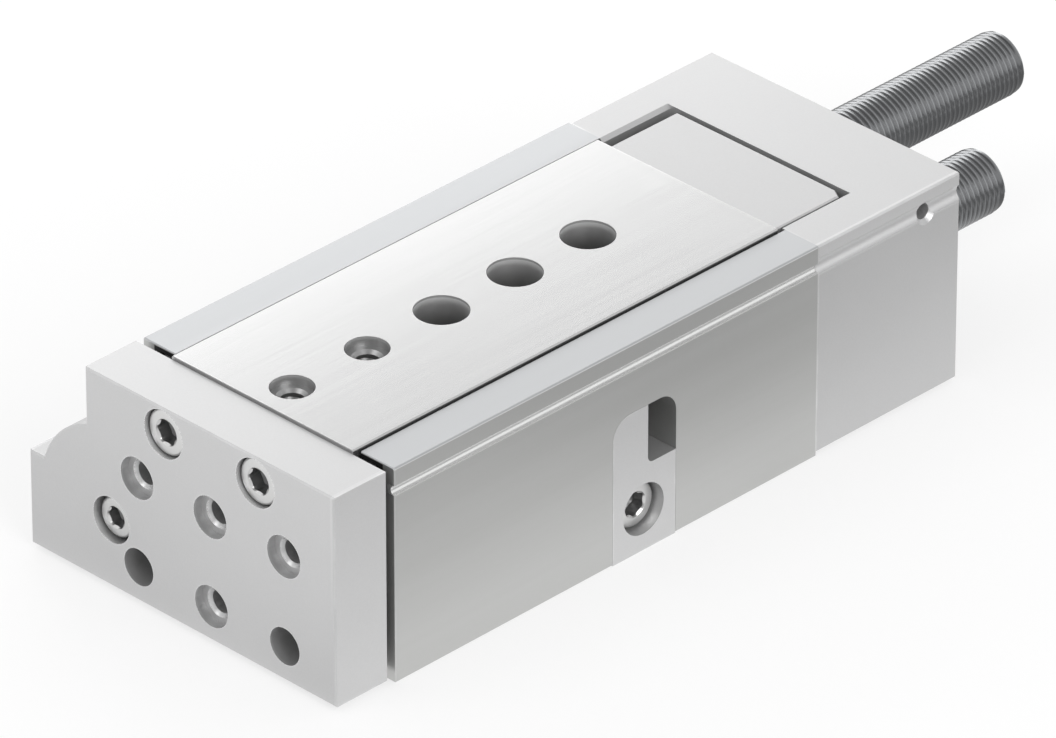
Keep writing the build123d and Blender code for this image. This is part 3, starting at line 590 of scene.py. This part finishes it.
def moulded(name, colour, roughness, grain_scale=900.0, relief=0.01, metallic=0.0):
    """Rubber or plastic from a mould: fine grain and uneven sheen."""
    finish = Finish(name, metallic, roughness)
    grain = finish.noise(grain_scale, 3.0, 0.6)
    cloud = finish.noise(90.0, 3.0)
    tone = (grain * 0.4 + cloud * 0.6).least(1.0)
    mixed = finish.between(shade(colour, 0.82), shade(colour, 1.15), tone)
    return finish.surface(mixed, roughness - 0.06 + cloud * 0.12, grain, relief)


def studio_ground(settings):
    """Pale floor with the slide's soft shadow. Metal mirrors it with painted light and shadow, darker out to
    the right.
    """
    finish = Finish("studio_floor", 0.0, 0.9)
    finish.shader.inputs["Specular IOR Level"].default_value = 0.0
    finish.shader.inputs["Base Color"].default_value = (0.90, 0.90, 0.90, 1.0)
    x, y, z = finish.axes()
    # What metal mirrors is painted: a painted pool of light in front of the yoke with a painted contact
    # shadow at its foot, a painted shadow past the cap, and painted shade falling off to the right
    ahead = outer_face("yoke_plate", "front") - y
    front = ahead.rise(0.0, 70.0) * 0.40 - ahead.rise(0.0, 6.0) * 0.22
    cap_shadow = y.rise(120.0, 138.0) * (60.0 - x).rise(0.0, 20.0)
    fall = 1.0 + y.rise(-20.0, 60.0) * 0.9 - y.rise(75.0, 120.0) * 0.6
    level = 0.80 + front - cap_shadow * 0.9 - y.rise(0.0, 60.0) * 0.05 - (x - 34.0).rise(0.0, 110.0) * fall
    far, near = [(tone, tone, tone) for tone in (settings.ground_far, settings.ground_near)]
    painted_floor_light = finish.node("ShaderNodeEmission", {}, {"Color": finish.between(far, near, level)})
    rays = finish.node("ShaderNodeLightPath", {}, {}).outputs
    mirrored = Value(finish, rays["Is Glossy Ray"]).most(Value(finish, rays["Is Transmission Ray"]))
    seen = Value(finish, rays["Is Camera Ray"]) * (1.0 - settings.floor_shadow)
    plain = finish.node("ShaderNodeEmission", {}, {"Color": (*WHITE, 1.0)})
    inputs = {0: mirrored, 1: finish.shader.outputs[0], 2: painted_floor_light.outputs[0]}
    below = finish.node("ShaderNodeMixShader", {}, inputs)
    inputs = {0: seen, 1: below.outputs[0], 2: plain.outputs[0]}
    shown = finish.node("ShaderNodeMixShader", {}, inputs)
    finish.tree.links.new(shown.outputs[0], finish.output.inputs["Surface"])
    return finish.material


def studio_world(settings):
    """Even light on the slide. The camera and metal see white low down and the ceiling's level above."""
    world = bpy.data.worlds.new("studio_world")
    world.use_nodes = True
    sky = Shading(world.node_tree)
    rays = sky.node("ShaderNodeLightPath", {}, {}).outputs
    seen = Value(sky, rays["Is Camera Ray"]).most(Value(sky, rays["Is Glossy Ray"]))
    way = sky.node("ShaderNodeTexCoord", {}, {}).outputs["Generated"]
    rise = sky.value("ShaderNodeSeparateXYZ", {}, {0: way}, "Z")
    # The rise is the sine of the height over the horizon
    ceiling = (settings.ceiling, settings.ceiling, settings.ceiling)
    colour = sky.ramp(((0.575, WHITE), (0.685, ceiling)), rise)
    lit = sky.node("ShaderNodeBackground", {}, {"Color": (*WHITE, 1.0), "Strength": settings.sky})
    shown = sky.node("ShaderNodeBackground", {}, {"Color": colour, "Strength": 1.0})
    inputs = {0: seen, 1: lit.outputs[0], 2: shown.outputs[0]}
    mix = sky.node("ShaderNodeMixShader", {}, inputs)
    sky.node("ShaderNodeOutputWorld", {}, {0: mix.outputs[0]})
    return world


def dress(material, *nodes):
    """Gives CAD nodes their finish."""
    for node in nodes:
        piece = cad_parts[node]
        piece.data.materials.clear()
        piece.data.materials.append(material)


def settle(bm, name, materials, body, nodes=()):
    """Makes a finished piece of a mesh drawn in millimetres, and puts it on its body."""
    bmesh.ops.remove_doubles(bm, verts=bm.verts, dist=0.0005)
    bmesh.ops.recalc_face_normals(bm, faces=bm.faces)
    bm.transform(Matrix.Scale(MM, 4))
    for face in bm.faces:
        face.smooth = True
    for edge in bm.edges:
        if len(edge.link_faces) == 2 and edge.calc_face_angle(0.0) > SHARP:
            edge.smooth = False
    mesh = bpy.data.meshes.new(name)
    bm.to_mesh(mesh)
    bm.free()
    piece = bpy.data.objects.new(name, mesh)
    bpy.context.scene.collection.objects.link(piece)
    for material in materials:
        mesh.materials.append(material)
    if nodes:
        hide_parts(*nodes)
    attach(piece, body)


def turn_round(bm, verts, edges, steps, rise=0.0):
    """Spins an outline once about Z, as a closed shape or, with a rise, as one turn of a thread."""
    bmesh.ops.spin(
        bm,
        geom=verts + edges,
        cent=(0.0, 0.0, 0.0),
        axis=(0.0, 0.0, 1.0),
        dvec=(0.0, 0.0, rise / steps),
        angle=2.0 * pi,
        steps=steps,
        use_merge=not rise,
    )


def draw_outline(bm, points):
    """A closed outline of (height, radius) points beside the Z axis."""
    verts = [bm.verts.new((radius, 0.0, height)) for height, radius in points]
    return verts, [bm.edges.new(pair) for pair in zip(verts, verts[1:] + verts[:1])]


def add_ridge(bm, low, high, thread, steps, flank=0.42, land=0.0):
    """A thread's ridge about Z: one turn of its outline, repeated a pitch apart and thinned at both ends.

    flank and land are half the widths of its foot and of its crest, in pitches.
    """
    foot, crest, pitch = thread
    before = set(bm.verts)
    turns = max(int((high - low - pitch) / pitch), 1)
    half, top = pitch * flank, pitch * land
    start = low + (high - low - turns * pitch) / 2
    stop = start + turns * pitch
    crests = [(-top, crest), (top, crest)] if land else [(0.0, crest)]
    outline = [(-half, foot), *crests, (half, foot)]
    turn_round(bm, *draw_outline(bm, [(start + rise, radius) for rise, radius in outline]), steps, pitch)
    turn = [vert for vert in bm.verts if vert not in before]
    faces = [face for face in bm.faces if face.verts[0] not in before]
    for index in range(1, turns):
        copy = bmesh.ops.duplicate(bm, geom=turn + faces)["geom"]
        moved = [item for item in copy if isinstance(item, bmesh.types.BMVert)]
        bmesh.ops.translate(bm, vec=(0.0, 0.0, pitch * index), verts=moved)
    made = [vert for vert in bm.verts if vert not in before]
    bmesh.ops.remove_doubles(bm, verts=made, dist=0.002)
    made = [vert for vert in bm.verts if vert not in before]
    ends = [edge for edge in bm.edges if edge.is_boundary and edge.verts[0] not in before]
    bmesh.ops.holes_fill(bm, edges=ends, sides=0)
    fade = pitch * 0.9
    for vert in made:
        inside = min(vert.co.z - start, stop - vert.co.z) + half
        if inside < fade:
            share = max(inside / fade, 0.0)
            radius = vert.co.xy.length
            scale = (foot + (radius - foot) * share) / radius
            vert.co.x *= scale
            vert.co.y *= scale
    return made


def draw_loop(bm, radius, height, lobes=0, depth=0.0):
    """A ring of vertices about Z, waved into lobes."""
    made = bmesh.ops.create_circle(bm, cap_ends=False, radius=radius, segments=HEAD_STEPS)["verts"]
    for vert in made:
        angle = Vector((1.0, 0.0)).angle_signed(vert.co.xy.normalized())
        scale = 1.0 + depth * cos(lobes * angle) if lobes else 1.0
        vert.co = (vert.co.x * scale, vert.co.y * scale, height)
    ring = set(made)
    return [edge for edge in bm.edges if edge.verts[0] in ring and edge.verts[1] in ring]


def grow(bm, loop, stages):
    """Extrudes a ring of edges through (scale, rise) stages and closes the last ring."""
    for scale, rise in stages:
        made = bmesh.ops.extrude_edge_only(bm, edges=loop)["geom"]
        verts = [item for item in made if isinstance(item, bmesh.types.BMVert)]
        ring = set(verts)
        bmesh.ops.scale(bm, vec=(scale, scale, 1.0), verts=verts)
        bmesh.ops.translate(bm, vec=(0.0, 0.0, rise), verts=verts)
        edges = [item for item in made if isinstance(item, bmesh.types.BMEdge)]
        loop = [edge for edge in edges if edge.verts[0] in ring and edge.verts[1] in ring]
    bmesh.ops.contextual_create(bm, geom=loop)


def add_screw(bm, screw, length, sizes):
    """A cap screw with its head's top at the origin and its shank down Z."""
    head, height, shank, socket, pitch = screw
    edge = sizes.screw_edge
    before = set(bm.verts)
    mouth = draw_loop(bm, socket, 0.0)
    rim = draw_loop(bm, head - edge, 0.0)
    bmesh.ops.bridge_loops(bm, edges=mouth + rim)
    lobes = draw_loop(bm, 0.87 * socket, -0.36, lobes=6, depth=sizes.lobe_depth)
    bmesh.ops.bridge_loops(bm, edges=mouth + lobes)
    plain = set(bm.faces)
    grow(bm, lobes, [(1.0, -0.45 * height), (0.55, -0.35), (0.05, -0.15)])
    # The socket's walls and floor take the second finish
    for face in bm.faces:
        if face not in plain:
            face.material_index = 1
    rounded = head - 0.45 * edge
    bevel, under, neck, tip = 0.25, 0.3, 0.35, 0.8
    # Over the rounded rim, down the head's side and in under it, and down the shank to its tip
    stages = [
        (rounded / (head - edge), -0.13 * edge),
        (head / rounded, -0.45 * edge),
        (1.0, -height + 0.58 * edge + under),
        ((head - bevel) / head, -under),
        ((shank + bevel) / (head - bevel), 0.0),
        (shank / (shank + bevel), -neck),
        (1.0, -length + neck + tip),
        ((shank - 0.7) / shank, -tip),
    ]
    grow(bm, rim, stages)
    end = -height - length + 0.6
    threaded = min(length - 2.0, shank * 9.0)
    add_ridge(bm, end, end + threaded, Thread(shank - 0.04, shank + 0.02, pitch), SHANK_STEPS)
    return [vert for vert in bm.verts if vert not in before]


def put(bm, verts, facing, place, level):
    """Turns new vertices from +Z to the way they face, and moves them to a place on the face there."""
    axis, end, turn = FACING[facing]
    spot = list(place)
    spot.insert(axis, level)
    bmesh.ops.transform(bm, matrix=Matrix.Translation(Vector(spot)) @ turn, verts=verts)


class SLIDE_OT_dress_body(bpy.types.Operator):
    """Finish the housing, the end cap, the yoke plate, the stop block and the side stop"""

    bl_idname = "slide.dress_body"
    bl_label = "Body finishes"

    def execute(self, context):
        colours = context.scene.slide_finishes
        dress(drawn_aluminium("drawn_housing", colours.profile, corners("housing")), "housing")

        # On the cap, lift paints light on the right side above the given height
        tint, lift = shade(colours.blasted, 0.94), (40.8, 41.5, 0.09)
        cap = blasted_aluminium("blasted_cap", tint, corners("end_cap"), recess_shade=0.0, lift=lift)
        dress(cap, "end_cap")

        tapped = mouths(YOKE_TAPPED, 4.5)
        holes = tapped + mouths(YOKE_PLAIN, 4.0) + mouths(YOKE_SCREWS, 5.2) + mouths([ROD_SCREW], 5.0)
        # On the yoke, lift paints light on the right side, brightening upwards
        tint, lift = colours.blasted, (10.0, 48.0, 0.045)
        yoke = blasted_aluminium("blasted_yoke", tint, corners("yoke_plate"), holes, tapped, lift=lift)
        dress(yoke, "yoke_plate")

        tint = shade(colours.blasted, 0.9)
        dress(blasted_aluminium("blasted_block", tint, corners("rear_stop_block")), "rear_stop_block")

        stop = blasted_aluminium("smooth_side_stop", colours.blasted, corners("side_stop"), recess_shade=0.0)
        dress(stop, "side_stop")
        return {"FINISHED"}


class SLIDE_OT_dress_table(bpy.types.Operator):
    """Finish the slide table"""

    bl_idname = "slide.dress_table"
    bl_label = "Table finish"

    def execute(self, context):
        colours = context.scene.slide_finishes
        holes = mouths(TABLE_TAPPED, 4.5) + mouths(TABLE_PLAIN, 5.6)
        dress(ground_steel("ground_table", colours.ground, corners("slide_table"), holes), "slide_table")
        return {"FINISHED"}


class SLIDE_OT_dress_inside(bpy.types.Operator):
    """Finish the guides, the cylinder's parts and the buffers"""

    bl_idname = "slide.dress_inside"
    bl_label = "Inner finishes"

    def execute(self, context):
        rail = ground_steel("ground_rail", (0.42, 0.42, 0.43), corners("guide_rail_left"), recess_shade=0.0)
        dress(rail, "guide_rail_left", "guide_rail_right")
        dress(polished_steel("polished_ball", (0.76, 0.76, 0.77)), "balls_left", "balls_right")
        dress(moulded("moulded_cage", (0.66, 0.63, 0.52), 0.48), "ball_cage_left", "ball_cage_right")
        dress(moulded("moulded_guide_ring", (0.30, 0.25, 0.20), 0.45), "piston_guide_ring")
        dress(polished_steel("chromed_rod", (0.74, 0.74, 0.75)), "piston_rod")
        turned = blasted_aluminium("turned_aluminium", (0.62, 0.62, 0.63), corners("piston"), recess_shade=0.0)
        dress(turned, "piston", "rod_gland")
        dress(screw_steel("nut_steel", (0.55, 0.54, 0.50)), "piston_nut")
        dress(screw_steel("lock_screw_steel", (0.22, 0.22, 0.23)), "sleeve_lock_screw")
        dress(screw_steel("spring_steel", (0.16, 0.16, 0.17)), "gland_circlip")
        rubber = moulded("seal_rubber", (0.035, 0.035, 0.037), 0.55, grain_scale=1300.0)
        dress(rubber, "piston_lip_seals", "rod_seal", "gland_o_ring")
        elastomer = moulded("buffer_elastomer", (0.07, 0.07, 0.075), 0.5)
        dress(elastomer, "retract_stop_buffer", "extend_stop_buffer")
        dress(elastomer, "front_buffer_ring", "rear_buffer_ring")
        tint = (0.08, 0.08, 0.085)
        magnet = moulded("bonded_magnet", tint, 0.42, grain_scale=1600.0, relief=0.004, metallic=0.3)
        dress(magnet, "piston_magnet", "table_magnet")
        return {"FINISHED"}


class SLIDE_OT_make_sleeves(bpy.types.Operator):
    """Make the two stop sleeves with their fine threads"""

    bl_idname = "slide.make_sleeves"
    bl_label = "Stop sleeves"

    def execute(self, context):
        sizes = context.scene.slide_sizes
        colours = context.scene.slide_finishes
        depth, steps = sizes.sleeve_thread_depth, sizes.turn_steps
        seat, bore, mouth = 4.05, 4.75, 5.4
        bodies = {"retract_stop_sleeve": "retract_sleeve", "extend_stop_sleeve": "extend_sleeve"}
        for node, body in bodies.items():
            low, high = corners(node)
            centre = (low[0] + high[0]) / 2, (low[2] + high[2]) / 2
            outer = (high[0] - low[0]) / 2
            front, rear = low[1], high[1]
            length = rear - front
            root = outer - depth
            buffer_end = corners(node.replace("sleeve", "buffer"))[1][1] - front
            # From the front face back along the outside, in at the mouth and round the buffer's seat
            profile = [
                (0.0, seat),
                (0.0, root - 0.35),
                (0.5, root),
                (length - 0.9, root),
                (length - 0.35, root - 0.1),
                (length, root - 0.5),
                (length, mouth),
                (length - 0.5, bore),
                (length - 8.0, bore),
                (length - 9.5, 0.0),
                (buffer_end + 1.5, 0.0),
                (buffer_end, seat),
            ]
            bm = bmesh.new()
            turn_round(bm, *draw_outline(bm, profile), steps)
            thread = Thread(root - 0.01, outer - 0.005, sizes.sleeve_pitch)
            add_ridge(bm, 0.15, length - 0.15, thread, steps, flank=0.40, land=0.03)
            put(bm, bm.verts[:], "rear", centre, front)
            material = turned_steel("threaded_" + node, colours.sleeve, centre, outer, depth, rear)
            settle(bm, node.replace("sleeve", "sleeve_threaded"), [material], body, [node])
        return {"FINISHED"}


class SLIDE_OT_make_screws(bpy.types.Operator):
    """Make the cap screws with six-lobed sockets"""

    bl_idname = "slide.make_screws"
    bl_label = "Cap screws"

    def execute(self, context):
        sizes = context.scene.slide_sizes
        colours = context.scene.slide_finishes
        # The sockets take the second, darker finish: painted shade
        finishes = [screw_steel("satin_screw", colours.screw), screw_steel("painted_socket_shade", colours.socket)]
        groups = (
            ("yoke_slide_screws", "table", "front", M6_SCREW, YOKE_SCREWS),
            ("piston_rod_screw", "table", "front", M5_SCREW, (ROD_SCREW,)),
            ("stop_block_screws", "table", "rear", M5_SCREW, BLOCK_SCREWS),
            ("end_cap_screws", "housing", "rear", M5_SCREW, CAP_SCREWS),
            ("side_stop_screw", "housing", "right", M6_SCREW, (SIDE_SCREW,)),
        )
        for node, body, facing, screw, places in groups:
            low, high = corners(node)
            axis = FACING[facing][0]
            length = round(high[axis] - low[axis] - screw.height, 2)
            level = outer_face(node, facing)
            bm = bmesh.new()
            for place in places:
                put(bm, add_screw(bm, screw, length, sizes), facing, place, level)
            settle(bm, node + "_detailed", finishes, body, [node])
        return {"FINISHED"}


class SLIDE_OT_make_hole_threads(bpy.types.Operator):
    """Line the open tapped holes with thread ridges"""

    bl_idname = "slide.make_hole_threads"
    bl_label = "Hole threads"

    def execute(self, context):
        colours = context.scene.slide_finishes
        # The ridges are coloured far darker than the metal round them: painted shade down in the holes
        cut = screw_steel("cut_thread", shade(colours.blasted, 0.30))
        dark = screw_steel("cut_thread_steel", shade(colours.screw, 0.35))
        # Each row ends with where its ridges start and end, in millimetres below the face
        groups = (
            ("yoke_hole_threads", "table", "yoke_plate", "front", M6_THREAD, YOKE_TAPPED, 4.6, 13.6),
            ("table_hole_threads", "table", "slide_table", "up", M6_THREAD, TABLE_TAPPED, 2.6, 12.3),
            ("base_hole_threads", "housing", "housing", "down", M6_THREAD, BASE_TAPPED, 1.2, 9.6),
            ("port_threads", "housing", "housing", "left", M5_THREAD, AIR_PORTS, 1.1, 9.2),
            ("cap_hole_thread", "housing", "end_cap", "right", M4_THREAD, (CAP_TAPPED,), 4.0, 8.6),
        )
        for name, body, node, facing, thread, places, start, end in groups:
            level = outer_face(node, facing)
            bm = bmesh.new()
            for place in places:
                put(bm, add_ridge(bm, -end, -start, thread, HOLE_STEPS), facing, place, level)
            if node == "slide_table":
                settle(bm, name, [dark], body)
            else:
                settle(bm, name, [cut], body)
        return {"FINISHED"}


class SLIDE_OT_make_studio(bpy.types.Operator):
    """Make the floor, the world, the lamps and the camera"""

    bl_idname = "slide.make_studio"
    bl_label = "Studio"

    def execute(self, context):
        scene = context.scene
        settings = scene.studio_settings
        scene.view_settings.view_transform = "Standard"
        scene.world = studio_world(settings)

        bm = bmesh.new()
        bmesh.ops.create_grid(bm, x_segments=1, y_segments=1, size=6.0)
        mesh = bpy.data.meshes.new("studio_floor")
        bm.to_mesh(mesh)
        bm.free()
        mesh.materials.append(studio_ground(settings))
        floor = bpy.data.objects.new("studio_floor", mesh)
        scene.collection.objects.link(floor)

        # Each lamp's name, its place, the point it shines at, its width and height, and its power
        lamps = (
            ("key_lamp", (-0.5, -1.3, 1.5), (0.0, 0.0, 0.02), 0.9, 0.9, settings.key_power),
            ("left_strip", (-0.485, 0.53, 0.235), (0.0, 0.53, 0.02), 0.9, 0.3, settings.strip_power),
            ("right_fill", (1.3, -0.3, 0.8), (0.0, 0.0, 0.02), 0.9, 0.9, settings.fill_power),
        )
        for name, place, target, width, height, power in lamps:
            light = bpy.data.lights.new(name, "AREA")
            light.shape = "RECTANGLE"
            light.size = width
            light.size_y = height
            light.energy = power
            lamp = bpy.data.objects.new(name, light)
            scene.collection.objects.link(lamp)
            lamp.location = place
            aim = Vector(target) - Vector(place)
            lamp.rotation_euler = aim.to_track_quat("-Z", "Y").to_euler()

        turn, lift = settings.azimuth, settings.elevation
        back = Vector((sin(turn) * cos(lift), -cos(turn) * cos(lift), sin(lift)))
        right = Vector((cos(turn), sin(turn), 0.0))
        facing = Matrix((right, back.cross(right), back)).transposed().to_4x4()
        data = bpy.data.cameras.new("photo_camera")
        data.lens = settings.lens
        data.sensor_width = 36.0
        data.clip_end = 50.0
        camera = bpy.data.objects.new("photo_camera", data)
        scene.collection.objects.link(camera)
        camera.matrix_world = Matrix.Translation(AIM + back * settings.distance) @ facing
        scene.camera = camera
        return {"FINISHED"}


class SLIDE_PT_panel(bpy.types.Panel):
    """The slide's steps in the sidebar"""

    bl_idname = "SLIDE_PT_panel"
    bl_label = "Guided slide"
    bl_space_type = "VIEW_3D"
    bl_region_type = "UI"
    bl_category = "Slide"

    def draw(self, context):
        for step in STEPS:
            self.layout.operator(step.bl_idname)
        for group in ("slide_sizes", "slide_finishes", "studio_settings"):
            settings = getattr(context.scene, group)
            box = self.layout.box()
            for name in settings.__annotations__:
                box.prop(settings, name)


STEPS = (
    SLIDE_OT_dress_body,
    SLIDE_OT_dress_table,
    SLIDE_OT_dress_inside,
    SLIDE_OT_make_sleeves,
    SLIDE_OT_make_screws,
    SLIDE_OT_make_hole_threads,
    SLIDE_OT_make_studio,
)
CLASSES = (SlideSizes, SlideFinishes, StudioSettings, *STEPS, SLIDE_PT_panel)


def register():
    for item in CLASSES:
        bpy.utils.register_class(item)
    bpy.types.Scene.slide_sizes = PointerProperty(type=SlideSizes)
    bpy.types.Scene.slide_finishes = PointerProperty(type=SlideFinishes)
    bpy.types.Scene.studio_settings = PointerProperty(type=StudioSettings)


def unregister():
    del bpy.types.Scene.studio_settings
    del bpy.types.Scene.slide_finishes
    del bpy.types.Scene.slide_sizes
    for item in reversed(CLASSES):
        bpy.utils.unregister_class(item)


def main():
    register()
    bpy.ops.slide.dress_body()
    bpy.ops.slide.dress_table()
    bpy.ops.slide.dress_inside()
    bpy.ops.slide.make_sleeves()
    bpy.ops.slide.make_screws()
    bpy.ops.slide.make_hole_threads()
    bpy.ops.slide.make_studio()


if __name__ == "__main__":
    main()
